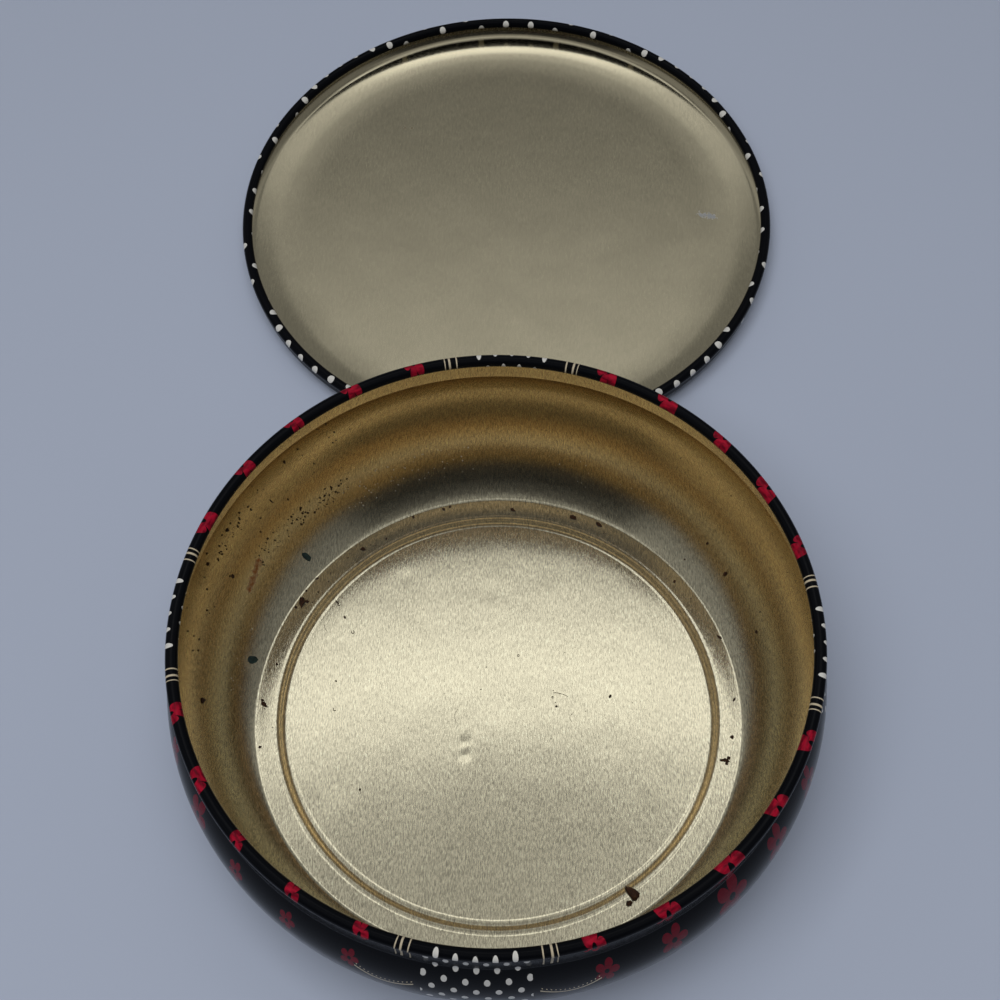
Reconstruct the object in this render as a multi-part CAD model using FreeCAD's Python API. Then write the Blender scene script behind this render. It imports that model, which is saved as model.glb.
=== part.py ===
import FreeCAD, Part
import math
import os

# A round tin drawn from one sheet of tinplate, with a bulging side, and its slip
# lid, drawn from another, lying inside-up behind it. Each piece is one solid: a
# strip of sheet turned about its own axis. Millimetres, +Z up. The origin is the
# centre of the tin's underside, and the lid lies on +Y.

# Driving dimensions of the tin
sheet = 0.28                # thickness of the tinplate, body and lid
tin_height = 55.0           # underside to the top of the rolled rim
rim_radius = 79.55          # outside of the rolled rim
rim_roll_radius = 1.55      # outside radius of the roll's round section
neck_inset = 0.55           # the neck stands this far inside the rim
neck_depth = 9.9            # top of the rim down to where the shoulder starts
belly_bulge = 3.15          # the widest line stands this far outside the rim
belly_height = 32.2         # height of the widest line
base_inset = 14.45          # the flat underside stops this far inside the rim
base_corner_radius = 1.7    # inside radius of the bottom corner

# Driving dimensions of the step in the base: the middle stands above the outer flat
step_margin = 5.4           # flat left between the step and the bottom corner
step_width = 3.2
step_rise = 0.7

# Driving dimensions of the lid
lid_clearance = 0.25        # room between the rim and the lid's rolled edge
lid_height = 9.3
lid_roll_radius = 1.5
lid_skirt_inset = 0.3       # the skirt stands this far inside the rolled edge
lid_corner_radius = 6.0     # inside radius between the panel and the skirt
lid_easing_angle = 7.5      # degrees that the panel's margin lifts before the corner
lid_easing_width = 10.5
lid_gap = -0.4              # the lid's edge lies just under the tin's bulge

# Bends of the press tools, measured on the middle of the sheet
bend_radius = 1.0           # under the rolls, and where the shoulder starts
roll_turn = 292.0           # degrees that an edge is rolled round

# Worked out from the values above
half = sheet / 2.0
belly_radius = rim_radius + belly_bulge
base_radius = rim_radius - base_inset
lid_radius = rim_radius + lid_clearance + 2.0 * lid_roll_radius
lid_distance = belly_radius + lid_radius + lid_gap


# A path is the middle line of the sheet, in radius and height, walked from the
# axis outwards. Its lines and arcs follow each other without a corner.
def line(start, end):
    """A straight piece of the path, or nothing where its ends meet."""
    length = math.hypot(end[0] - start[0], end[1] - start[1])
    if length < 1e-6:
        return []
    normal = ((start[1] - end[1]) / length, (end[0] - start[0]) / length)

    def edge(shift):
        corners = [(p[0] + shift * normal[0], p[1] + shift * normal[1]) for p in (start, end)]
        return Part.LineSegment(*[FreeCAD.Vector(r, 0, z) for r, z in corners]).toShape()
    return [edge]


def arc(centre, radius, first, last):
    """A bend of the path from one angle to another, in degrees, 0 outwards and 90 up."""
    turning_left = 1.0 if last > first else -1.0

    def edge(shift):
        moved = radius - turning_left * shift
        angles = [math.radians(a) for a in (first, (first + last) / 2.0, last)]
        points = [FreeCAD.Vector(centre[0] + moved * math.cos(a), 0, centre[1] + moved * math.sin(a))
                  for a in angles]
        return Part.Arc(*points).toShape()
    return [edge]


def turned(path):
    """The sheet along a path, turned once about the Z axis."""
    left = [edge(half) for edge in path]
    right = [edge(-half) for edge in path]
    on_axis = Part.LineSegment(right[0].firstVertex().Point, left[0].firstVertex().Point)
    at_end = Part.LineSegment(left[-1].lastVertex().Point, right[-1].lastVertex().Point)
    outline = Part.Wire(left + [at_end.toShape()] + right[::-1] + [on_axis.toShape()])
    return Part.Face(outline).revolve(FreeCAD.Vector(0, 0, 0), FreeCAD.Vector(0, 0, 1), 360)


def rolled_edge(wall_radius, outer_radius, top, roll_radius):
    """Where an upright wall ends under its rolled edge, and the path of the roll, inwards and down."""
    radius = roll_radius - half
    centre = (outer_radius - roll_radius, top - roll_radius)
    across = wall_radius + bend_radius - centre[0]
    down = math.sqrt((radius + bend_radius) ** 2 - across ** 2)
    wall_top = centre[1] - down
    lean = math.degrees(math.atan2(down, across))
    bend = arc((wall_radius + bend_radius, wall_top), bend_radius, 180.0, 180.0 - lean)
    roll = arc(centre, radius, -lean, roll_turn - lean)
    return wall_top, bend + roll


def step(outside, level):
    """A step down to a flat at that level, in two arcs, and the height of the middle above it."""
    slope = 2.0 * math.atan(step_rise / step_width)
    radius = step_width / (2.0 * math.sin(slope))
    lean = math.degrees(slope)
    inside = outside - step_width
    crown = arc((inside, level + step_rise - radius), radius, 90.0, 90.0 - lean)
    foot = arc((outside, level + radius), radius, -90.0 - lean, -90.0)
    return (inside, level + step_rise), crown + foot


def bulging_side(corner, corner_radius, shoulder, widest):
    """Two arcs that meet at the widest line: up from the bottom corner, and up to the shoulder."""
    in_low = widest[0] - corner[0]
    drop = corner[1] - widest[1]
    low_radius = (in_low ** 2 + drop ** 2 - corner_radius ** 2) / (2.0 * (in_low - corner_radius))
    low_angle = math.degrees(math.atan2(drop, low_radius - in_low))
    lower = arc((widest[0] - low_radius, widest[1]), low_radius, low_angle, 0.0)

    in_top = widest[0] - shoulder[0]
    rise = shoulder[1] - widest[1]
    top_radius = (in_top ** 2 + rise ** 2 - bend_radius ** 2) / (2.0 * (in_top + bend_radius))
    top_angle = math.degrees(math.atan2(rise, top_radius - in_top))
    upper = arc((widest[0] - top_radius, widest[1]), top_radius, 0.0, top_angle)
    return low_angle, lower + upper, top_angle


def tin():
    corner_radius = base_corner_radius + half
    corner = (base_radius, half + corner_radius)
    wall = rim_radius - neck_inset - half
    shoulder = (wall + bend_radius, tin_height - neck_depth)
    step_outside = base_radius - step_margin
    panel_edge, drop = step(step_outside, half)
    low_angle, side, top_angle = bulging_side(corner, corner_radius, shoulder,
                                              (belly_radius - half, belly_height))
    wall_top, rim = rolled_edge(wall, rim_radius, tin_height, rim_roll_radius)
    path = line((0.0, panel_edge[1]), panel_edge) + drop
    path += line((step_outside, half), (base_radius, half))
    path += arc(corner, corner_radius, -90.0, low_angle)
    path += side
    path += arc(shoulder, bend_radius, 180.0 + top_angle, 180.0)
    path += line((wall, shoulder[1]), (wall, wall_top))
    return turned(path + rim)


def lid():
    wall = lid_radius - lid_skirt_inset - half
    wall_top, edge = rolled_edge(wall, lid_radius, lid_height, lid_roll_radius)
    lean = math.radians(lid_easing_angle)
    easing_radius = lid_easing_width / math.sin(lean)
    lift = easing_radius * (1.0 - math.cos(lean))
    # the corner never takes more than the skirt's own height
    corner_radius = min(lid_corner_radius + half, (wall_top - half - lift) / math.cos(lean))
    corner = (wall - corner_radius, half + lift + corner_radius * math.cos(lean))
    flat_edge = corner[0] + corner_radius * math.sin(lean) - lid_easing_width
    path = line((0.0, half), (flat_edge, half))
    path += arc((flat_edge, half + easing_radius), easing_radius, -90.0, lid_easing_angle - 90.0)
    path += arc(corner, corner_radius, lid_easing_angle - 90.0, 0.0)
    path += line((wall, corner[1]), (wall, wall_top))
    piece = turned(path + edge)
    piece.translate(FreeCAD.Vector(0, lid_distance, 0))
    return piece


os.makedirs("parts", exist_ok=True)
for name, piece in (("tin_body", tin()), ("tin_lid", lid())):
    if not piece.isValid() or len(piece.Solids) != 1:
        raise RuntimeError(name + " isn't one valid solid")
    piece.exportStep("parts/" + name + ".step")
    box = piece.optimalBoundingBox(False)
    print(name, round(piece.Volume), "mm3", "x", round(box.XMin, 2), round(box.XMax, 2),
          "y", round(box.YMin, 2), round(box.YMax, 2), "z", round(box.ZMin, 2), round(box.ZMax, 2))
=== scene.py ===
import math
import random

import bmesh
import bpy
import numpy as np
from mathutils import Matrix, Vector, noise


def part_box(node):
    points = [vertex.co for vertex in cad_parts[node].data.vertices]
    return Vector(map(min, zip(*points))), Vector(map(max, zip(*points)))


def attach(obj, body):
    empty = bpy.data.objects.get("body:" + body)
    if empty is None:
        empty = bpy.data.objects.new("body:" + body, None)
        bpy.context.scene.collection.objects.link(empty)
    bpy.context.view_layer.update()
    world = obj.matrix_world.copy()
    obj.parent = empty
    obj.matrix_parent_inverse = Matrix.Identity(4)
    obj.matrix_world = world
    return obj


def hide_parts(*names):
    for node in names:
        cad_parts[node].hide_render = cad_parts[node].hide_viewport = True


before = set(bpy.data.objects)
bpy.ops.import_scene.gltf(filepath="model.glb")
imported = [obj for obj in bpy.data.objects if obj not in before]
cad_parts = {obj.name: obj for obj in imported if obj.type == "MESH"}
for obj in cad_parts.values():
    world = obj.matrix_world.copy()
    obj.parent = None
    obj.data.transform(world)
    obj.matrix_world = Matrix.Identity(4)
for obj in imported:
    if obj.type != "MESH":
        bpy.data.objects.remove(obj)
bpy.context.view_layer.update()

# A round tin with gold lacquer inside and a black spotted print outside, and its lid
# lying inside-up behind it. Sizes in the dictionaries are millimetres and degrees.
mm = 0.001
tinLow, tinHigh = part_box("tin_body")
lidLow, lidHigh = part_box("tin_lid")
lidPlace = Vector((0, (lidLow.y + lidHigh.y) / 2, 0))
print("frame loaded")


# camera

cameraSetup = {
    "place": (7.5, -165.0, 413.7),      # from the middle of the tin's underside
    "looksDown": 60.85,
    "turn": 1.98,                       # anticlockwise from +Y
    "roll": -1.26,
    "lens": 58.93,                      # for a sensor 36 wide
}


def makeCamera(setup):
    data = bpy.data.cameras.new("camera")
    data.sensor_width = 36
    data.lens = setup["lens"]
    data.clip_start = 0.01
    camera = bpy.data.objects.new("camera", data)
    bpy.context.collection.objects.link(camera)
    turned = Matrix.Rotation(math.radians(setup["turn"]), 4, "Z")
    tipped = Matrix.Rotation(math.radians(90 - setup["looksDown"]), 4, "X")
    rolled = Matrix.Rotation(math.radians(setup["roll"]), 4, "Z")
    camera.matrix_world = Matrix.Translation(Vector(setup["place"]) * mm) @ turned @ tipped @ rolled
    bpy.context.scene.camera = camera


makeCamera(cameraSetup)
print("camera set")


# Sheet metal. A path is the middle line of the sheet, walked from the axis outwards:
# rows of radius, height and the direction to its left, which is the inside of the tin.

def straight(start, end, steps):
    start, end = np.array(start), np.array(end)
    along = (end - start) / np.linalg.norm(end - start)
    share = np.linspace(0, 1, steps + 1)[:, None]
    return np.hstack([start + share * (end - start), np.tile((-along[1], along[0]), (steps + 1, 1))])


def bend(centre, radius, first, last, steps):
    angle = np.radians(np.linspace(first, last, steps + 1))
    outwards = np.stack([np.cos(angle), np.sin(angle)], 1)
    side = -1 if last > first else 1
    return np.hstack([np.array(centre) + radius * outwards, side * outwards])


def joined(*parts):
    return np.vstack([parts[0]] + [part[1:] for part in parts[1:]])


def rolledEdge(wall, outer, top, size, steps):
    radius = size["rollRadius"] - size["sheet"] / 2
    centre = (outer - size["rollRadius"], top - size["rollRadius"])
    across = wall + size["bendRadius"] - centre[0]
    down = math.sqrt((radius + size["bendRadius"]) ** 2 - across ** 2)
    lean = math.degrees(math.atan2(down, across))
    wallTop = centre[1] - down
    under = bend((wall + size["bendRadius"], wallTop), size["bendRadius"], 180, 180 - lean, 4)
    return wallTop, joined(under, bend(centre, radius, -lean, size["rollTurn"] - lean, steps))


def sheetSide(path, offset, segments):
    # points of one side of the turned sheet, and where each lay on the flat blank before drawing
    angle = np.arange(segments) * 2 * math.pi / segments
    around = np.stack([np.cos(angle), np.sin(angle)], 1)
    steps = np.linalg.norm(np.diff(path[:, :2], axis=0), axis=1)
    doubleArea = np.cumsum((path[1:, 0] + path[:-1, 0]) * steps)
    line = path[:, :2] + offset * path[:, 2:]
    flat = line[1:, 0, None, None] * around
    high = np.broadcast_to(line[1:, 1, None, None], flat.shape[:2] + (1,))
    points = np.concatenate([flat, high], 2).reshape(-1, 3)
    blank = np.sqrt(doubleArea)[:, None, None] * around
    blank = np.concatenate([blank, np.zeros(high.shape)], 2).reshape(-1, 3)
    axis = [[0.0, 0.0, line[0, 1]]]
    return np.vstack([axis, points]), np.vstack([np.zeros((1, 3)), blank])


def sideFaces(rings, segments, first, flipped):
    here = np.arange(segments)
    beside = (here + 1) % segments
    fan = [(first, first + 1 + a, first + 1 + b) for a, b in zip(here, beside)]
    quads = []
    for ring in range(rings - 1):
        low, high = first + 1 + ring * segments, first + 1 + (ring + 1) * segments
        quads += [(low + a, high + a, high + b, low + b) for a, b in zip(here, beside)]
    faces = fan + quads
    return [face[::-1] for face in faces] if flipped else faces


def turnSheet(name, insidePath, outsidePath, size, place):
    half, segments = size["sheet"] / 2, size["segments"]
    inside, insideBlank = sheetSide(insidePath, half, segments)
    outside, outsideBlank = sheetSide(outsidePath, -half, segments)
    for dent in size["dents"]:
        turn = math.radians(dent["turn"])
        away = inside[:, :2] - dent["out"] * np.array((math.cos(turn), math.sin(turn)))
        inside[:, 2] += dent["rise"] * np.exp(-(away ** 2).sum(1) / 2 / dent["width"] ** 2)
    points = np.vstack([inside, outside])
    faces = sideFaces(len(insidePath) - 1, segments, 0, False)
    insideCount = len(faces)
    faces += sideFaces(len(outsidePath) - 1, segments, len(inside), True)
    lastIn, lastOut = len(inside) - segments, len(points) - segments
    for a in range(segments):
        b = (a + 1) % segments
        faces.append((lastIn + a, lastOut + a, lastOut + b, lastIn + b))
    mesh = bpy.data.meshes.new(name)
    mesh.from_pydata((points * mm).tolist(), [], [tuple(int(i) for i in face) for face in faces])
    mesh.polygons.foreach_set("use_smooth", [True] * len(faces))
    mesh.polygons.foreach_set("material_index", [1] * insideCount + [0] * (len(faces) - insideCount))
    blank = mesh.attributes.new("blank", "FLOAT_VECTOR", "POINT")
    blank.data.foreach_set("vector", np.vstack([insideBlank, outsideBlank]).ravel())
    piece = bpy.data.objects.new(name, mesh)
    piece.location = place
    bpy.context.collection.objects.link(piece)
    return piece


# the tin

tinSize = {
    "sheet": 0.28,
    "height": (tinHigh.z - tinLow.z) / mm,
    "widest": (tinHigh.x - tinLow.x) / mm / 2,
    "widestHeight": 32.2,
    "rimRadius": 79.55,
    "rollRadius": 1.55,
    "neckInset": 0.55,          # the neck stands this far inside the rim
    "neckDepth": 9.9,           # top of the rim down to the shoulder
    "baseRadius": 65.1,
    "cornerRadius": 1.7,        # inside, at the bottom
    "stepMargin": 5.2,          # flat between the step and the corner
    "stepWidth": 3.0,
    "stepRise": 0.7,            # the middle of the base stands this far above the outer flat
    "lip": 4,                   # degrees that the sheet lifts beside the step, on both sides
    "lipWidth": 0.35,
    "lipEdge": 0.2,             # a close ring beside each lip keeps its shading narrow
    "bendRadius": 1.0,
    "rollTurn": 292,
    "segments": 300,
    "dents": [
        {"turn": -134, "out": 12.4, "width": 1.0, "rise": -0.05},
        {"turn": -124, "out": 15.2, "width": 0.9, "rise": -0.09},
        {"turn": 124, "out": 48, "width": 1.3, "rise": -0.03},
        {"turn": 95, "out": 36, "width": 1.6, "rise": -0.015},
    ],
}


def tinPath(size, baseSteps, sideSteps):
    half = size["sheet"] / 2
    cornerRadius = size["cornerRadius"] + half
    corner = (size["baseRadius"], half + cornerRadius)
    wall = size["rimRadius"] - size["neckInset"] - half
    shoulder = (wall + size["bendRadius"], size["height"] - size["neckDepth"])
    widest = (size["widest"] - half, size["widestHeight"])

    # the step down to the outer flat: a lip, two arcs of one radius and a lip
    slope = 2 * math.atan(size["stepRise"] / size["stepWidth"])
    lean, radius = math.degrees(slope), size["stepWidth"] / 2 / math.sin(slope)
    lip, lipRise = size["lip"], size["lipWidth"] * math.tan(math.radians(size["lip"]))
    outside, level = size["baseRadius"] - size["stepMargin"], half + size["stepRise"]
    crown = bend((outside - size["stepWidth"], level - radius), radius, 90 + lip, 90 - lean, 9)
    foot = bend((outside, half + radius), radius, -90 - lean, lip - 90, 9)
    inner = crown[0, :2] - (size["lipWidth"], lipRise)
    outer = foot[-1, :2] + (size["lipWidth"], lipRise)
    innerEdge, outerEdge = inner - (size["lipEdge"], 0), outer + (size["lipEdge"], 0)
    base = joined(
        straight((0, inner[1]), innerEdge, baseSteps), straight(innerEdge, inner, 1),
        straight(inner, crown[0, :2], 2), crown, foot, straight(foot[-1, :2], outer, 2),
        straight(outer, outerEdge, 1), straight(outerEdge, (size["baseRadius"], half), 3))

    # the bulging side: two arcs that meet upright at the widest line
    inLow, drop = widest[0] - corner[0], corner[1] - widest[1]
    lowRadius = (inLow ** 2 + drop ** 2 - cornerRadius ** 2) / 2 / (inLow - cornerRadius)
    lowAngle = math.degrees(math.atan2(drop, lowRadius - inLow))
    inTop, rise = widest[0] - shoulder[0], shoulder[1] - widest[1]
    topRadius = (inTop ** 2 + rise ** 2 - size["bendRadius"] ** 2) / 2 / (inTop + size["bendRadius"])
    topAngle = math.degrees(math.atan2(rise, topRadius - inTop))
    side = joined(
        bend(corner, cornerRadius, -90, lowAngle, 7),
        bend((widest[0] - lowRadius, widest[1]), lowRadius, lowAngle, 0, sideSteps),
        bend((widest[0] - topRadius, widest[1]), topRadius, 0, topAngle, sideSteps * 3 // 5),
        bend(shoulder, size["bendRadius"], 180 + topAngle, 180, 5))

    wallTop, edge = rolledEdge(wall, size["rimRadius"], size["height"], size, sideSteps)
    return joined(base, side, straight((wall, shoulder[1]), (wall, wallTop), 3), edge)


tinInside = tinPath(tinSize, 64, 30)
tin = turnSheet("tin", tinInside, tinPath(tinSize, 20, 30), tinSize, (0, 0, 0))
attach(tin, "root")
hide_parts("tin_body")
print("tin made")


# the lid

lidSize = {
    "sheet": 0.28,
    "height": (lidHigh.z - lidLow.z) / mm,
    "radius": (lidHigh.x - lidLow.x) / mm / 2,
    "rollRadius": 1.5,
    "skirtInset": 0.3,          # the skirt stands this far inside the rolled edge
    "cornerRadius": 3.8,        # inside, between the panel and the skirt
    "easings": [(3.5, 8.0), (9.5, 3.5), (13, 4.5)],     # lean of the panel's margin, and its width
    "bendRadius": 1.0,
    "rollTurn": 292,
    "segments": 320,
    "dents": [],
}


def lidPath(size, panelSteps, sideSteps):
    half = size["sheet"] / 2
    wall = size["radius"] - size["skirtInset"] - half
    wallTop, edge = rolledEdge(wall, size["radius"], size["height"], size, sideSteps)
    cornerRadius = size["cornerRadius"] + half
    last = math.radians(size["easings"][-1][0])
    easedFrom = wall - cornerRadius * (1 - math.sin(last)) - sum(width for _, width in size["easings"])
    parts, at, lean = [straight((0, half), (easedFrom, half), panelSteps)], np.array((easedFrom, half)), 0
    for nextLean, width in size["easings"]:
        old, new = math.radians(lean), math.radians(nextLean)
        radius = width / (math.sin(new) - math.sin(old))
        centre = at + radius * np.array((-math.sin(old), math.cos(old)))
        parts.append(bend(centre, radius, lean - 90, nextLean - 90, 9))
        at, lean = centre + radius * np.array((math.sin(new), -math.cos(new))), nextLean
    corner = at + cornerRadius * np.array((-math.sin(last), math.cos(last)))
    parts.append(bend(corner, cornerRadius, lean - 90, 0, sideSteps * 2 // 3))
    if wallTop - corner[1] > 1e-6:
        parts.append(straight((wall, corner[1]), (wall, wallTop), 2))
    return joined(*parts, edge)


lid = turnSheet("lid", lidPath(lidSize, 50, 36), lidPath(lidSize, 30, 36), lidSize, lidPlace)
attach(lid, "root")
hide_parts("tin_lid")
print("lid made")


# crumbs and marks inside the tin

def insideSpot(turn, out, high):
    # a place on the tin's inside, by distance from the axis on the base, or by height on the side
    line = tinInside[:, :2] + tinSize["sheet"] / 2 * tinInside[:, 2:]
    split = int(np.argmax(line[:, 0] > tinSize["baseRadius"]))
    neck = int(np.argmax(line[:, 1] > crumbSetup["highest"]))
    rows = slice(0, split + 1) if high is None else slice(split, neck)
    key, value = (line[rows, 0], out) if high is None else (line[rows, 1], high)
    flat = [float(np.interp(value, key, column)) for column in (*line[rows].T, *tinInside[rows, 2:].T)]
    outwards = Vector((math.cos(math.radians(turn)), math.sin(math.radians(turn)), 0))
    place = outwards * flat[0] + Vector((0, 0, flat[1]))
    normal = (outwards * flat[2] + Vector((0, 0, flat[3]))).normalized()
    around = Vector((-outwards.y, outwards.x, 0))
    return Matrix.Translation(place) @ Matrix((around.cross(normal), around, normal)).transposed().to_4x4()


def addCrumb(points, faces, spot, long, wide, thick, lean, taper, uneven, steps):
    # the long side lies outwards, or upwards on the side, and turns with lean
    shape = bmesh.new()
    bmesh.ops.create_icosphere(shape, subdivisions=steps, radius=0.5)
    first, start = len(points), Vector((len(points) * 0.37, 0, 0))
    coarse, fine = crumbSetup["lumps"]
    raised, sunk = thick * crumbSetup["raised"], crumbSetup["sunk"]
    for vertex in shape.verts:
        lump = noise.noise(vertex.co * coarse + start)
        chip = noise.noise(vertex.co * fine + start)
        at = vertex.co * (1 + uneven * lump + uneven / 2 * chip)
        swell = 1 + taper * 2 * vertex.co.x
        at = Vector((at.x * long, at.y * wide * swell, max(at.z * thick + raised, sunk)))
        points.append(spot @ (Matrix.Rotation(math.radians(lean), 4, "Z") @ at) * mm)
    faces += [tuple(first + vertex.index for vertex in face.verts) for face in shape.faces]
    shape.free()


def addStrand(points, faces, spot, length, curl, thick, lean):
    # a hair or thread that lies flat and bends through curl degrees
    steps, sides = 14, 5
    first, at, turn = len(points), Vector(), math.radians(lean)
    for step in range(steps + 1):
        swell = thick / 2 * (1 + 0.5 * noise.noise(Vector((step * 0.7, length, curl))))
        for corner in range(sides):
            angle = corner * math.tau / sides
            level = math.cos(angle)
            ring = Vector((-math.sin(turn) * level, math.cos(turn) * level, math.sin(angle)))
            points.append(spot @ (at + ring * swell + Vector((0, 0, thick * 0.4))) * mm)
        turn += math.radians(curl) / steps
        at = at + Vector((math.cos(turn), math.sin(turn), 0)) * length / steps
    for step in range(steps):
        for corner in range(sides):
            a, b = first + step * sides + corner, first + step * sides + (corner + 1) % sides
            faces.append((a, b, b + sides, a + sides))
    last = first + steps * sides
    faces.append(tuple(first + corner for corner in reversed(range(sides))))
    faces.append(tuple(last + corner for corner in range(sides)))


def makeScatter(name, points, faces):
    mesh = bpy.data.meshes.new(name)
    mesh.from_pydata(points, [], faces)
    mesh.polygons.foreach_set("use_smooth", [True] * len(faces))
    piece = bpy.data.objects.new(name, mesh)
    bpy.context.collection.objects.link(piece)
    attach(piece, "root")
    return piece


crumbSetup = {
    "lumps": (3.1, 8),          # waves to the crumb, coarse and fine
    "raised": 0.36,             # its middle stands this share of its thickness off the metal
    "sunk": -0.05,              # nothing reaches deeper into the sheet than this
    "highest": 50,              # no place on the side is looked for above this height
    "baseUneven": 0.55,
    "sideUneven": 0.45,
    "base": [       # turn, out, length, width, thickness, lean, taper
        (-54.5, 60.4, 4.4, 2.0, 1.3, 8, 0.5), (-56.5, 61.9, 1.5, 1.4, 0.9, 60, 0.0),
        (150, 64.0, 2.6, 1.5, 0.7, -60, 0.5), (149, 62.9, 1.0, 0.8, 0.5, 10, 0.0),
        (146.7, 65.3, 0.7, 0.5, 0.4, 0, 0.0), (142.5, 65.4, 0.9, 0.5, 0.4, 70, 0.0),
        (151.8, 64.6, 0.7, 0.6, 0.4, 0, 0.0), (178.8, 63.2, 2.0, 0.8, 0.6, -35, 0.6),
        (-12.2, 61.7, 2.2, 0.9, 0.6, 8, 0.6), (-11.4, 62.7, 0.8, 0.8, 0.6, 50, 0.0),
        (-12.9, 62.4, 0.8, 0.7, 0.5, 0, 0.0), (-5.9, 63.0, 0.9, 0.8, 0.6, 0, 0.0),
        (3.8, 63.9, 1.2, 0.4, 0.4, 50, 0.0), (20.5, 64.8, 1.3, 0.6, 0.5, -60, 0.3),
        (39, 63.0, 0.9, 0.6, 0.4, 20, 0.0), (71, 63.3, 2.0, 1.1, 0.7, 80, 0.2),
        (64, 64.0, 1.8, 0.9, 0.6, 75, 0.2), (113, 64.7, 0.8, 0.6, 0.5, 0, 0.0),
        (105, 64.4, 0.9, 0.6, 0.5, 40, 0.0), (103.3, 64.8, 0.6, 0.6, 0.4, 0, 0.0),
        (87, 62.2, 1.5, 0.7, 0.5, 70, 0.4), (128.6, 62.7, 1.4, 1.0, 0.6, 30, 0.5),
        (122, 61.8, 0.6, 0.5, 0.4, 0, 0.0), (8.6, 30.6, 0.9, 0.6, 0.5, 40, 0.3),
        (5.5, 15.8, 0.6, 0.5, 0.4, 0, 0.0), (177.6, 64.0, 0.7, 0.6, 0.4, 0, 0.0),
        (-148, 42.4, 0.6, 0.6, 0.4, 0, 0.0), (167.7, 62.3, 0.7, 0.6, 0.4, 0, 0.0),
        (-170.4, 64.3, 0.8, 0.5, 0.4, 30, 0.0), (147.5, 51.0, 0.6, 0.4, 0.3, 20, 0.0),
        (144.9, 55.6, 0.6, 0.5, 0.4, 0, 0.0), (169.5, 45.0, 0.5, 0.4, 0.3, 0, 0.0)
    ],
    "side": [       # turn, height, length, width, thickness, lean, taper
        (-178, 13.1, 1.8, 1.2, 0.5, 20, 0.7), (159, 28.8, 0.9, 0.9, 0.5, 0, 0.0),
        (151.6, 29.7, 1.5, 1.0, 0.3, 30, 0.3), (156.1, 16.5, 1.4, 1.0, 0.15, 0, 0.0),
        (162.2, 23.1, 0.8, 0.6, 0.2, 0, 0.0), (140.4, 23.0, 2.0, 0.4, 0.2, 15, 0.0),
        (135, 33.2, 1.6, 0.6, 0.3, 10, 0.5), (39.4, 8.9, 0.8, 0.5, 0.4, 30, 0.0),
        (41.2, 2.8, 0.5, 0.4, 0.3, 0, 0.0), (31.8, 7.3, 1.3, 1.0, 0.5, 20, 0.2),
        (16.9, 7.0, 1.0, 0.6, 0.4, 80, 0.2)
    ],
    "strands": [    # turn, out, length, curl, thickness, lean
        (144.7, 54.9, 1.6, 260, 0.22, 20), (150.4, 46.9, 2.2, 320, 0.20, 60),
        (147.2, 51.4, 1.3, 150, 0.16, 80), (152.8, 54.5, 2.2, 60, 0.10, 110),
        (179.6, 44.3, 1.4, 200, 0.18, 30), (-163, 11.5, 4.2, -95, 0.09, -60), (71, 17.2, 1.6, 330, 0.16, 0),
        (20, 16.0, 4.0, -30, 0.13, -20), (16, 15.5, 1.2, 300, 0.18, 100), (-8, 20.0, 2.6, -110, 0.09, 150)
    ],
}


def makeCrumbs(setup):
    points, faces = [], []
    for turn, out, long, wide, thick, lean, taper in setup["base"]:
        spot = insideSpot(turn, out, None)
        addCrumb(points, faces, spot, long, wide, thick, lean, taper, setup["baseUneven"], 3)
    for turn, high, long, wide, thick, lean, taper in setup["side"]:
        spot = insideSpot(turn, 0, high)
        addCrumb(points, faces, spot, long, wide, thick, lean, taper, setup["sideUneven"], 3)
    for turn, out, length, curl, thick, lean in setup["strands"]:
        addStrand(points, faces, insideSpot(turn, out, None), length, curl, thick, lean)
    return makeScatter("crumbs", points, faces)


speckSetup = {
    "seed": 7,
    "uneven": 0.4,
    # lowest and highest turn, lowest and highest place, on the side or not, count, smallest, largest
    "dark": [
        (124, 150, 10.3, 14.6, True, 105, 0.32, 0.80), (145, 157, 24, 31, True, 40, 0.32, 0.78),
        (118, 176, 14, 42, True, 90, 0.26, 0.75), (20, 60, 5, 30, True, 14, 0.25, 0.60),
        (-180, 180, 5, 54, False, 46, 0.20, 0.45), (60, 190, 60.5, 64.8, False, 24, 0.25, 0.60),
        (-60, 60, 60.5, 64.8, False, 10, 0.20, 0.45)],
    "pale": [(96, 127, 5.5, 12.5, True, 60, 0.25, 0.55), (158, 178, 3, 9, True, 22, 0.20, 0.45),
             (55, 80, 4, 11, True, 12, 0.20, 0.40)],
}


def makeSpecks(name, clusters, seed):
    points, faces = [], []
    chance = random.Random(seed)
    for turnLow, turnHigh, low, high, onSide, count, small, large in clusters:
        for _ in range(count):
            turn, place = chance.uniform(turnLow, turnHigh), chance.uniform(low, high)
            spot = insideSpot(turn, 0, place) if onSide else insideSpot(turn, place, None)
            size = small + (large - small) * chance.random() ** 2
            wide, lean = size * chance.uniform(0.5, 1), chance.uniform(0, 180)
            addCrumb(points, faces, spot, size, wide, size * 0.5, lean, 0, speckSetup["uneven"], 1)
    return makeScatter(name, points, faces)


dropSetup = {
    "drops": [      # turn, height, length, width, thickness, lean, taper
        (168.6, 2.6, 3.2, 2.0, 0.25, 25, 0.1), (140.8, 4.2, 3.2, 1.6, 0.25, 10, -0.1)],
    "uneven": 0.22,
}


def makeDrops(setup):
    points, faces = [], []
    for turn, high, long, wide, thick, lean, taper in setup["drops"]:
        spot = insideSpot(turn, 0, high)
        addCrumb(points, faces, spot, long, wide, thick, lean, taper, setup["uneven"], 4)
    return makeScatter("driedDrops", points, faces)


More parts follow.
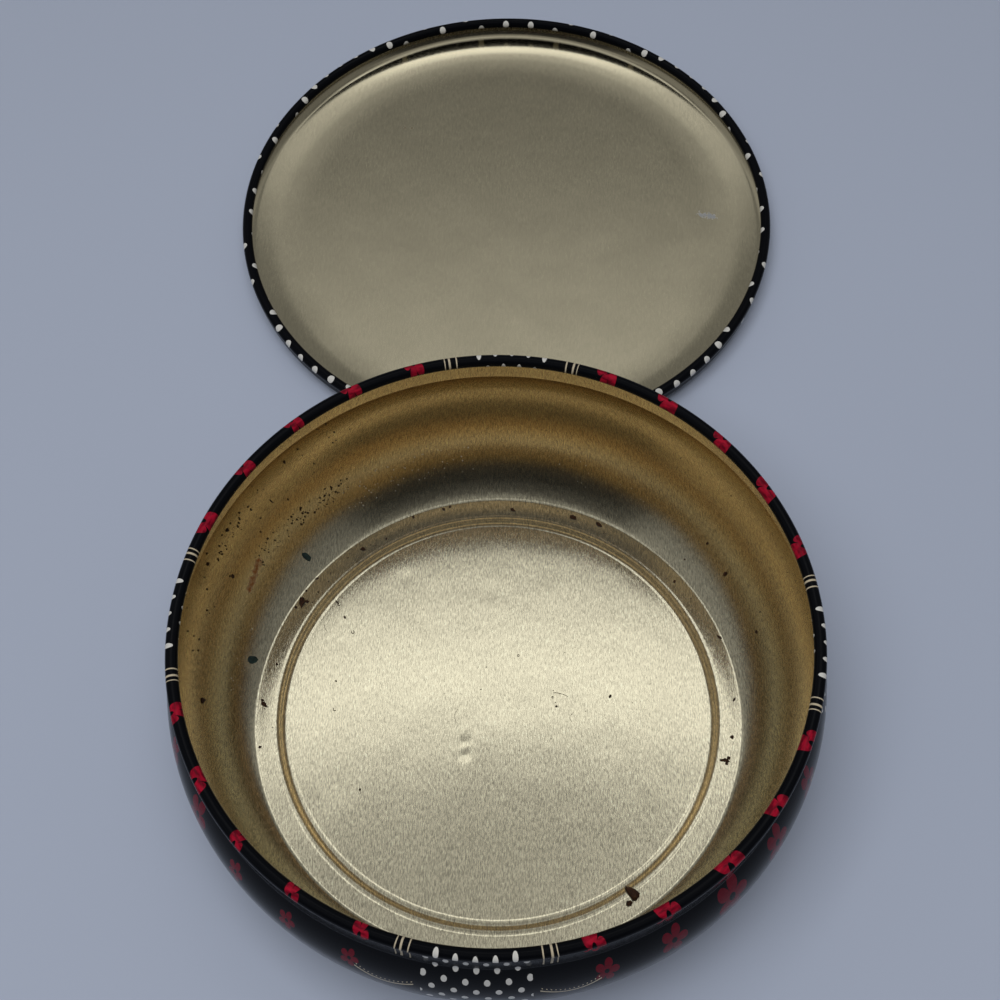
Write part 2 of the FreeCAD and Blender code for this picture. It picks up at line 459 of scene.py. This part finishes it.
crumbs = makeCrumbs(crumbSetup)
darkSpecks = makeSpecks("darkSpecks", speckSetup["dark"], speckSetup["seed"])
paleSpecks = makeSpecks("paleSpecks", speckSetup["pale"], speckSetup["seed"] + 1)
driedDrops = makeDrops(dropSetup)
print("crumbs made")


# materials

def newMaterial(name):
    material = bpy.data.materials.new(name)
    material.use_nodes = True
    return material, material.node_tree, material.node_tree.nodes["Principled BSDF"]


def addNode(tree, kind, values=None, **settings):
    made = tree.nodes.new(kind)
    for key, value in settings.items():
        setattr(made, key, value)
    for key, value in (values or {}).items():
        if isinstance(value, bpy.types.NodeSocket):
            tree.links.new(value, made.inputs[key])
        else:
            made.inputs[key].default_value = value
    return made


def calc(tree, operation, *values):
    return addNode(tree, "ShaderNodeMath", dict(enumerate(values)), operation=operation).outputs[0]


def blend(tree, share, first, second):
    made = addNode(tree, "ShaderNodeMix", data_type="RGBA")
    for index, value in ((0, share), (6, first), (7, second)):
        if isinstance(value, bpy.types.NodeSocket):
            tree.links.new(value, made.inputs[index])
        else:
            made.inputs[index].default_value = value if index == 0 else (*value, 1)
    return made.outputs[2]


def remap(tree, value, low, high, newLow, newHigh):
    ends = {0: value, 1: low, 2: high, 3: newLow, 4: newHigh}
    return addNode(tree, "ShaderNodeMapRange", ends).outputs[0]


def blankPlace(tree):
    # where the spot lay on the flat blank, in millimetres
    return addNode(tree, "ShaderNodeAttribute", attribute_name="blank").outputs["Vector"]


def grain(tree, vector, scale, detail=2.0, warp=0.0):
    stretched = addNode(tree, "ShaderNodeVectorMath", {0: vector, 1: scale}, operation="MULTIPLY")
    values = {"Vector": stretched.outputs[0], "Scale": 1.0, "Detail": detail, "Distortion": warp}
    return addNode(tree, "ShaderNodeTexNoise", values).outputs["Fac"]


lacquerSetup = {
    "baseGold": (0.86, 0.80, 0.585),
    # painted light: the paler base gold stands in for the base's bright, washed-out look, the deeper side
    # gold for light bounced between the gold walls
    "paintedBounceGold": (0.95, 0.66, 0.31),
    "sideFrom": 76,                     # on the flat blank, where the base's gold starts to give way to the side's painted deeper gold
    "sideTo": 92,
    "rough": 0.13,
    "sideRough": 0.21,
    "roughFrom": (66, 72),
    "metal": 0.88,
    "grain": (3.8, 0.75, 1),            # waves to the millimetre, across and along the rolling
    "grainDepth": 0.48,
    "lift": 0.22,
    "waves": 0.35,
    # two ends, each a turn and a distance on the blank, reach, raggedness, softness, strength, colour
    "marks": [
        ((149.6, 82.0), (155.6, 79.2), 0.65, 1.3, 0.5, 0.9, (0.40, 0.13, 0.02)),
        ((168.6, 69.4), (169.4, 69.6), 2.1, 1.2, 0.9, 0.12, (0.55, 0.55, 0.48)),
        ((140.8, 71.2), (141.5, 71.4), 2.1, 1.2, 0.9, 0.12, (0.55, 0.55, 0.48)),
    ],
}

lidLacquerSetup = {
    "baseGold": (0.82, 0.75, 0.535),
    # painted light: the deeper gold towards the skirt stands in for light bounced between the lid's gold
    # walls
    "paintedBounceGold": (0.84, 0.68, 0.42),
    "sideFrom": 80,
    "sideTo": 92,
    "rough": 0.15,
    "sideRough": 0.28,
    "roughFrom": (80, 84),
    "metal": 1.0,
    "grain": (2.2, 0.5, 1),
    "grainDepth": 0.07,
    "lift": 0.06,
    "waves": 0.25,
    "marks": [
        ((4.0, 66.2), (5.0, 62.5), 0.9, 1.6, 0.4, 0.7, (0.42, 0.46, 0.55)),
        ((129.6, 53.5), (129.8, 53.6), 0.35, 0.2, 0.15, 0.8, (0.16, 0.12, 0.07)),
        ((127.6, 52.0), (127.8, 52.1), 0.35, 0.2, 0.15, 0.8, (0.16, 0.12, 0.07)),
    ],
}


markFinish = {"rougher": 0.35, "lessMetal": 0.45}     # what a mark of full strength does to the lacquer


def nearMark(tree, blank, start, end):
    # how far the spot lies from a straight mark on the blank; each end is a turn and a distance out
    start, end = [Vector((out * math.cos(math.radians(turn)), out * math.sin(math.radians(turn)), 0))
                  for turn, out in (start, end)]
    line = end - start
    away = addNode(tree, "ShaderNodeVectorMath", {0: blank, 1: start}, operation="SUBTRACT").outputs[0]
    onLine = addNode(tree, "ShaderNodeVectorMath", {0: away, 1: line},
                     operation="DOT_PRODUCT").outputs["Value"]
    share = addNode(tree, "ShaderNodeMath", {0: onLine, 1: line.length_squared},
                    operation="DIVIDE", use_clamp=True).outputs[0]
    foot = addNode(tree, "ShaderNodeVectorMath", {0: line, "Scale": share}, operation="SCALE").outputs[0]
    return addNode(tree, "ShaderNodeVectorMath", {0: away, 1: foot}, operation="DISTANCE").outputs["Value"]


def makeLacquer(name, setup):
    material, tree, shader = newMaterial(name)
    blank = blankPlace(tree)
    fine = grain(tree, blank, setup["grain"], 3.0, 0.9)             # warped, so that it shows no rows
    cloudy = grain(tree, blank, (0.05, 0.05, 0.05), 3.0)
    out = addNode(tree, "ShaderNodeVectorMath", {0: blank}, operation="LENGTH").outputs["Value"]
    # painted light: the gold deepens outwards on the blank, standing in for light bounced between the gold
    # walls
    paintedBounceShare = remap(tree, out, setup["sideFrom"], setup["sideTo"], 0.0, 1.0)
    gold = blend(tree, paintedBounceShare, setup["baseGold"], setup["paintedBounceGold"])
    depth = setup["grainDepth"]
    shade = calc(tree, "MULTIPLY", remap(tree, fine, 0.3, 0.7, 1 - depth, 1 + depth * 0.6),
                 remap(tree, cloudy, 0.35, 0.65, 0.97, 1.03))
    toned = addNode(tree, "ShaderNodeVectorMath", {0: gold, "Scale": shade}, operation="SCALE").outputs[0]
    plain = remap(tree, out, *setup["roughFrom"], setup["rough"], setup["sideRough"])
    rough = calc(tree, "ADD", plain, remap(tree, fine, 0.3, 0.7, -0.02, 0.03))

    metal = remap(tree, out, *setup["roughFrom"], setup["metal"], 1.0)
    ragged = remap(tree, grain(tree, blank, (0.9, 0.9, 0.9), 4.0), 0.3, 0.7, -0.5, 0.5)
    for start, end, reach, uneven, soft, strength, colour in setup["marks"]:
        away = calc(tree, "ADD", nearMark(tree, blank, start, end), calc(tree, "MULTIPLY", ragged, uneven))
        share = remap(tree, away, reach - soft, reach + soft, strength, 0.0)
        toned = blend(tree, share, toned, colour)
        rough = calc(tree, "ADD", rough, calc(tree, "MULTIPLY", share, markFinish["rougher"]))
        metal = calc(tree, "SUBTRACT", metal, calc(tree, "MULTIPLY", share, markFinish["lessMetal"]))
    tree.links.new(metal, shader.inputs["Metallic"])
    tree.links.new(toned, shader.inputs["Base Color"])
    tree.links.new(rough, shader.inputs["Roughness"])
    wavy = grain(tree, blank, (0.06, 0.06, 0.06), 1.0)
    wide = addNode(tree, "ShaderNodeBump", {"Height": wavy, "Strength": setup["waves"],
                                            "Distance": 0.2 * mm})
    lift = addNode(tree, "ShaderNodeBump", {"Height": fine, "Strength": setup["lift"],
                                            "Distance": 0.06 * mm, "Normal": wide.outputs[0]})
    tree.links.new(lift.outputs[0], shader.inputs["Normal"])
    return material


printSetup = {
    "black": (0.0035, 0.004, 0.0055),
    "white": (0.72, 0.71, 0.67),
    "cream": (0.58, 0.50, 0.36),
    "red": (0.42, 0.008, 0.030),
    # darker red: streaks in the print's red, and painted shade on the flowers down the side
    "streakAndShadeRed": (0.13, 0.004, 0.013),
    "rough": 0.14,
    "gloss": 0.07,
    "fields": 4,                        # fields of spots, evenly round the tin
    "firstField": -92.2,
    "fieldHalf": 9.0,                   # degrees to each side
    "pitch": 6.5,                       # spots, on the flat blank
    "spot": 0.95,
    "stripes": [(3.6, 0.5), (6.4, 0.8), (8.3, 0.4)],      # distance beyond the field, width
    "stripesFrom": 112,
    "wander": 0.8,                      # how far a stripe strays
    "flowersFrom": 11.0,                # distance beyond the field
    # degrees between two flowers, place and size on the blank, spread of sizes, share of bright red; the
    # rest is the darker red, which on the side flowers is painted shade
    "rimFlowers": {"turn": 13, "out": 117.2, "size": 5.4, "range": (0.6, 1.15), "share": 1.0},
    # the side flowers keep little bright red: their darkness is painted shade on the tin's side
    "sideFlowers": {"turn": 12, "out": 105.5, "size": 6.0, "range": (0.5, 1.1), "share": 0.12},
    # place on the blank, distances beyond the field, sag and width of the line, then the dots
    "swags": {"out": 103.6, "from": 2, "to": 20, "sag": 2.4, "width": 0.5,
              "dots": 1.3, "dotsAbove": 1.1, "dotSize": 0.22},
}

lidPrintSetup = dict(
    printSetup, fieldHalf=46.0, pitch=9.5, spot=1.1, stripes=[], sideFlowers=None, swags=None,
    rimFlowers={"turn": 22, "out": 60, "size": 8, "range": (0.7, 1.1), "share": 1.0})

flowerShape = {"petals": 5, "waist": 0.25, "heart": 0.2}    # shares of the flower's size


def distance(tree, across, along):
    squares = [calc(tree, "POWER", value, 2.0) for value in (across, along)]
    return calc(tree, "SQRT", calc(tree, "ADD", *squares))


def flowerMask(tree, out, turn, middle, size):
    # round petals about a point at that distance from the middle of the blank
    across = calc(tree, "MULTIPLY", out, calc(tree, "SINE", turn))
    along = calc(tree, "SUBTRACT", calc(tree, "MULTIPLY", out, calc(tree, "COSINE", turn)), middle)
    away = distance(tree, across, along)
    bearing = calc(tree, "ARCTAN2", along, across)
    turns = calc(tree, "MULTIPLY", bearing, flowerShape["petals"] / 2)
    petal = calc(tree, "SQRT", calc(tree, "ABSOLUTE", calc(tree, "COSINE", turns)))
    waist = flowerShape["waist"]
    share = calc(tree, "ADD", calc(tree, "MULTIPLY", petal, 1 - waist), waist)
    petals = calc(tree, "LESS_THAN", away, calc(tree, "MULTIPLY", share, size))
    heart = calc(tree, "LESS_THAN", away, calc(tree, "MULTIPLY", size, flowerShape["heart"]))
    return petals, heart


def makePrint(name, setup):
    material, tree, shader = newMaterial(name)
    blank = blankPlace(tree)
    apart = addNode(tree, "ShaderNodeSeparateXYZ", {0: blank})
    x, y = apart.outputs[0], apart.outputs[1]
    out = addNode(tree, "ShaderNodeVectorMath", {0: blank}, operation="LENGTH").outputs["Value"]
    turn = calc(tree, "ARCTAN2", y, x)
    half = math.pi / setup["fields"]
    start = math.radians(setup["firstField"])
    fieldTurn = calc(tree, "WRAP", calc(tree, "SUBTRACT", turn, start), half, -half)
    gapTurn = calc(tree, "WRAP", calc(tree, "SUBTRACT", turn, start + half), half, -half)
    beyond = calc(tree, "MULTIPLY", out, calc(tree, "SUBTRACT", calc(tree, "ABSOLUTE", fieldTurn),
                                              math.radians(setup["fieldHalf"])))
    inField = calc(tree, "LESS_THAN", beyond, 0.0)

    # spots in staggered rows
    across = calc(tree, "MULTIPLY", out, calc(tree, "SINE", fieldTurn))
    along = calc(tree, "MULTIPLY", out, calc(tree, "COSINE", fieldTurn))
    nearest = []
    for shift in (0.0, 0.5):
        offsets = []
        for place in (across, along):
            pitches = calc(tree, "ADD", calc(tree, "DIVIDE", place, setup["pitch"]), shift)
            offsets.append(calc(tree, "SUBTRACT", calc(tree, "FRACT", pitches), 0.5))
        nearest.append(distance(tree, *offsets))
    spot = calc(tree, "LESS_THAN", calc(tree, "MINIMUM", *nearest), setup["spot"] / setup["pitch"])
    spots = calc(tree, "MULTIPLY", spot, inField)
    colour = blend(tree, spots, setup["black"], setup["white"])

    # flowers between the fields
    polar = addNode(tree, "ShaderNodeCombineXYZ", {0: turn, 1: out}).outputs[0]
    streak = remap(tree, grain(tree, polar, (30.0, 1.6, 1.0)), 0.35, 0.65, 0.0, 1.0)
    gapNumber = calc(tree, "ROUND", calc(tree, "MULTIPLY", calc(tree, "SUBTRACT", turn, gapTurn), 10.0))
    for flower in (setup["rimFlowers"], setup["sideFlowers"]):
        if flower:
            step = math.radians(flower["turn"])
            side = calc(tree, "WRAP", gapTurn, step / 2, -step / 2)
            number = calc(tree, "ADD", gapNumber, calc(tree, "ROUND", calc(tree, "DIVIDE", gapTurn, step)))
            chance = addNode(tree, "ShaderNodeTexWhiteNoise", {"W": number}, noise_dimensions="1D")
            chance = remap(tree, chance.outputs["Value"], 0.0, 1.0, *flower["range"])
            size = calc(tree, "MULTIPLY", chance, flower["size"])
            petals, heart = flowerMask(tree, out, side, flower["out"], size)
            clear = calc(tree, "GREATER_THAN", beyond, setup["flowersFrom"])
            petals = calc(tree, "MULTIPLY", petals, clear)
            # with a small share, as on the side flowers, the darker red is painted shade; otherwise it
            # follows the streaks in the print
            bright = calc(tree, "MULTIPLY", streak, flower["share"])
            red = blend(tree, bright, setup["streakAndShadeRed"], setup["red"])
            colour = blend(tree, petals, colour, red)
            colour = blend(tree, calc(tree, "MULTIPLY", petals, heart), colour, setup["black"])

    # cream stripes beside the fields
    stray = grain(tree, blank, (0.12, 0.12, 0.12))
    wander = remap(tree, stray, 0.0, 1.0, -setup["wander"], setup["wander"])
    edge = calc(tree, "ADD", beyond, wander)
    onRim = calc(tree, "GREATER_THAN", out, setup["stripesFrom"])
    for place, width in setup["stripes"]:
        stripe = calc(tree, "MULTIPLY", calc(tree, "COMPARE", edge, place, width / 2), onRim)
        colour = blend(tree, stripe, colour, setup["cream"])

    # one swagged line on each side of a field, with a row of small dots above it
    if setup["swags"]:
        swag = setup["swags"]
        middle, reach = (swag["from"] + swag["to"]) / 2, (swag["to"] - swag["from"]) / 2
        aside = calc(tree, "SUBTRACT", beyond, middle)
        arch = calc(tree, "COSINE", calc(tree, "MULTIPLY", aside, math.pi / 2 / reach))
        drop = calc(tree, "MULTIPLY", arch, swag["sag"])
        line = calc(tree, "SUBTRACT", out, calc(tree, "SUBTRACT", swag["out"], drop))
        shown = calc(tree, "COMPARE", aside, 0.0, reach)
        drawn = calc(tree, "MULTIPLY", shown, calc(tree, "COMPARE", line, 0.0, swag["width"] / 2))
        share = calc(tree, "SUBTRACT", calc(tree, "FRACT", calc(tree, "DIVIDE", aside, swag["dots"])), 0.5)
        away = distance(tree, calc(tree, "MULTIPLY", share, swag["dots"]),
                        calc(tree, "SUBTRACT", line, swag["dotsAbove"]))
        dots = calc(tree, "MULTIPLY", shown, calc(tree, "LESS_THAN", away, swag["dotSize"]))
        colour = blend(tree, calc(tree, "MAXIMUM", drawn, dots), colour, setup["cream"])

    tree.links.new(colour, shader.inputs["Base Color"])
    handled = grain(tree, blank, (0.4, 0.4, 0.4), 4.0)
    rough = remap(tree, handled, 0.3, 0.7, setup["rough"] - 0.03, setup["rough"] + 0.05)
    tree.links.new(rough, shader.inputs["Roughness"])
    shader.inputs["Specular IOR Level"].default_value = setup["gloss"]
    return material


crumbFinishes = {
    # dark and light colour, roughness, and waves to the millimetre
    "crumbs": ((0.014, 0.006, 0.004), (0.060, 0.026, 0.012), 0.75, 2.5),
    "darkSpecks": ((0.018, 0.010, 0.005), (0.060, 0.034, 0.014), 0.8, 2.0),
    "paleSpecks": ((0.30, 0.27, 0.21), (0.55, 0.50, 0.40), 0.8, 2.0),
    "driedDrops": ((0.006, 0.013, 0.015), (0.020, 0.045, 0.040), 0.35, 0.8),
}


def makeCrumbFinish(name, dark, light, rough, waves):
    material, tree, shader = newMaterial(name + "Finish")
    place = addNode(tree, "ShaderNodeTexCoord").outputs["Object"]
    size = waves / mm
    mottle = grain(tree, place, (size, size, size), 3.0)
    colour = blend(tree, remap(tree, mottle, 0.35, 0.65, 0.0, 1.0), dark, light)
    tree.links.new(colour, shader.inputs["Base Color"])
    pits = addNode(tree, "ShaderNodeBump", {"Height": mottle, "Strength": 0.5, "Distance": 0.2 * mm})
    tree.links.new(pits.outputs[0], shader.inputs["Normal"])
    shader.inputs["Roughness"].default_value = rough
    return material


for piece in (crumbs, darkSpecks, paleSpecks, driedDrops):
    piece.data.materials.append(makeCrumbFinish(piece.name, *crumbFinishes[piece.name]))
tin.data.materials.append(makePrint("tinPrint", printSetup))
tin.data.materials.append(makeLacquer("goldLacquer", lacquerSetup))
lid.data.materials.append(makePrint("lidPrint", lidPrintSetup))
lid.data.materials.append(makeLacquer("lidLacquer", lidLacquerSetup))
print("materials made")


# floor, lamps and surroundings

stageSetup = {
    "floor": (0.50, 0.56, 0.70),
    "floorRough": 0.7,
    "floorSize": 2600,
    "room": 0.018,                      # strength of the surroundings where no glow lies
    "roomColour": (1.0, 1.0, 1.0),
    "backdrop": (0.27, 0.30, 0.37),     # what the camera sees beyond the floor
    "sideSoftness": 8.0,                # of each glow's left and right edge
    # turn from +Y towards +X, half width, lowest and highest edge with their softness, strength
    "glows": [
        (0, 50, (52, 5.0), (70, 1.5), 0.26),
        (0, 50, (70, 1.5), (79, 3.0), 0.15),
        (0, 27, (64.6, 2.2), (68.7, 0.8), 1.02),
        (48, 22, (67, 2.0), (76, 2.0), 0.75),
        (-48, 22, (64, 2.0), (70, 2.0), 0.50),
        (0, 60, (8, 5.0), (80, 4.0), 0.12),
        (90, 40, (10, 4.0), (56, 4.0), 0.11),
        (-90, 40, (10, 4.0), (56, 4.0), 0.17),
        (180, 60, (46, 3.0), (61, 2.0), 0.18),
        (180, 118, (61.5, 2.0), (76, 2.0), 0.36),
        (180, 181, (76, 3.0), (100, 3.0), 0.20),
    ],
    "key": {"place": (-150, -250, 1200), "width": 900, "depth": 900, "power": 7.6},
}


def makeFloor(setup):
    mesh = bpy.data.meshes.new("floor")
    far = setup["floorSize"] * mm / 2
    mesh.from_pydata([(-far, -far, 0), (far, -far, 0), (far, far, 0), (-far, far, 0)], [], [(0, 1, 2, 3)])
    floor = bpy.data.objects.new("floor", mesh)
    bpy.context.collection.objects.link(floor)
    material, _, shader = newMaterial("floorPaint")
    shader.inputs["Base Color"].default_value = (*setup["floor"], 1)
    shader.inputs["Roughness"].default_value = setup["floorRough"]
    mesh.materials.append(material)


def addKey(setup):
    # a soft key for the print and the floor, kept out of the metal's reflections
    data = bpy.data.lights.new("key", "AREA")
    data.shape = "RECTANGLE"
    data.size, data.size_y = setup["width"] * mm, setup["depth"] * mm
    data.energy = setup["power"]
    lamp = bpy.data.objects.new("key", data)
    lamp.location = Vector(setup["place"]) * mm
    lamp.rotation_euler = (-lamp.location).to_track_quat("-Z", "Y").to_euler()
    lamp.visible_glossy = False
    bpy.context.collection.objects.link(lamp)


def rampUp(tree, value, middle, soft):
    ends = {0: value, 1: middle - soft, 2: middle + soft, 3: 0.0, 4: 1.0}
    return addNode(tree, "ShaderNodeMapRange", ends, interpolation_type="SMOOTHSTEP").outputs[0]


def makeRoom(setup):
    world = bpy.data.worlds.new("room")
    bpy.context.scene.world = world
    world.use_nodes = True
    tree = world.node_tree
    back = tree.nodes["Background"]
    ray = addNode(tree, "ShaderNodeTexCoord").outputs["Generated"]
    apart = addNode(tree, "ShaderNodeSeparateXYZ", {0: ray})
    height = calc(tree, "DEGREES", calc(tree, "ARCSINE", apart.outputs[2]))
    turn = calc(tree, "DEGREES", calc(tree, "ARCTAN2", apart.outputs[0], apart.outputs[1]))
    total = setup["room"]
    for middle, half, low, high, strength in setup["glows"]:
        past = calc(tree, "WRAP", calc(tree, "SUBTRACT", turn, float(middle)), 180.0, -180.0)
        aside = rampUp(tree, calc(tree, "ABSOLUTE", past), half, setup["sideSoftness"])
        wide = calc(tree, "SUBTRACT", 1.0, aside)
        window = calc(tree, "MULTIPLY", rampUp(tree, height, *low),
                      calc(tree, "SUBTRACT", 1.0, rampUp(tree, height, *high)))
        glow = calc(tree, "MULTIPLY", calc(tree, "MULTIPLY", wide, window), strength)
        total = calc(tree, "ADD", glow, total)
    seen = addNode(tree, "ShaderNodeLightPath").outputs["Is Camera Ray"]
    tree.links.new(blend(tree, seen, setup["roomColour"], setup["backdrop"]), back.inputs["Color"])
    strength = calc(tree, "ADD", seen, calc(tree, "MULTIPLY", calc(tree, "SUBTRACT", 1.0, seen), total))
    tree.links.new(strength, back.inputs["Strength"])


makeFloor(stageSetup)
makeRoom(stageSetup)
addKey(stageSetup["key"])
bpy.context.scene.view_settings.view_transform = "Standard"
print("stage set")
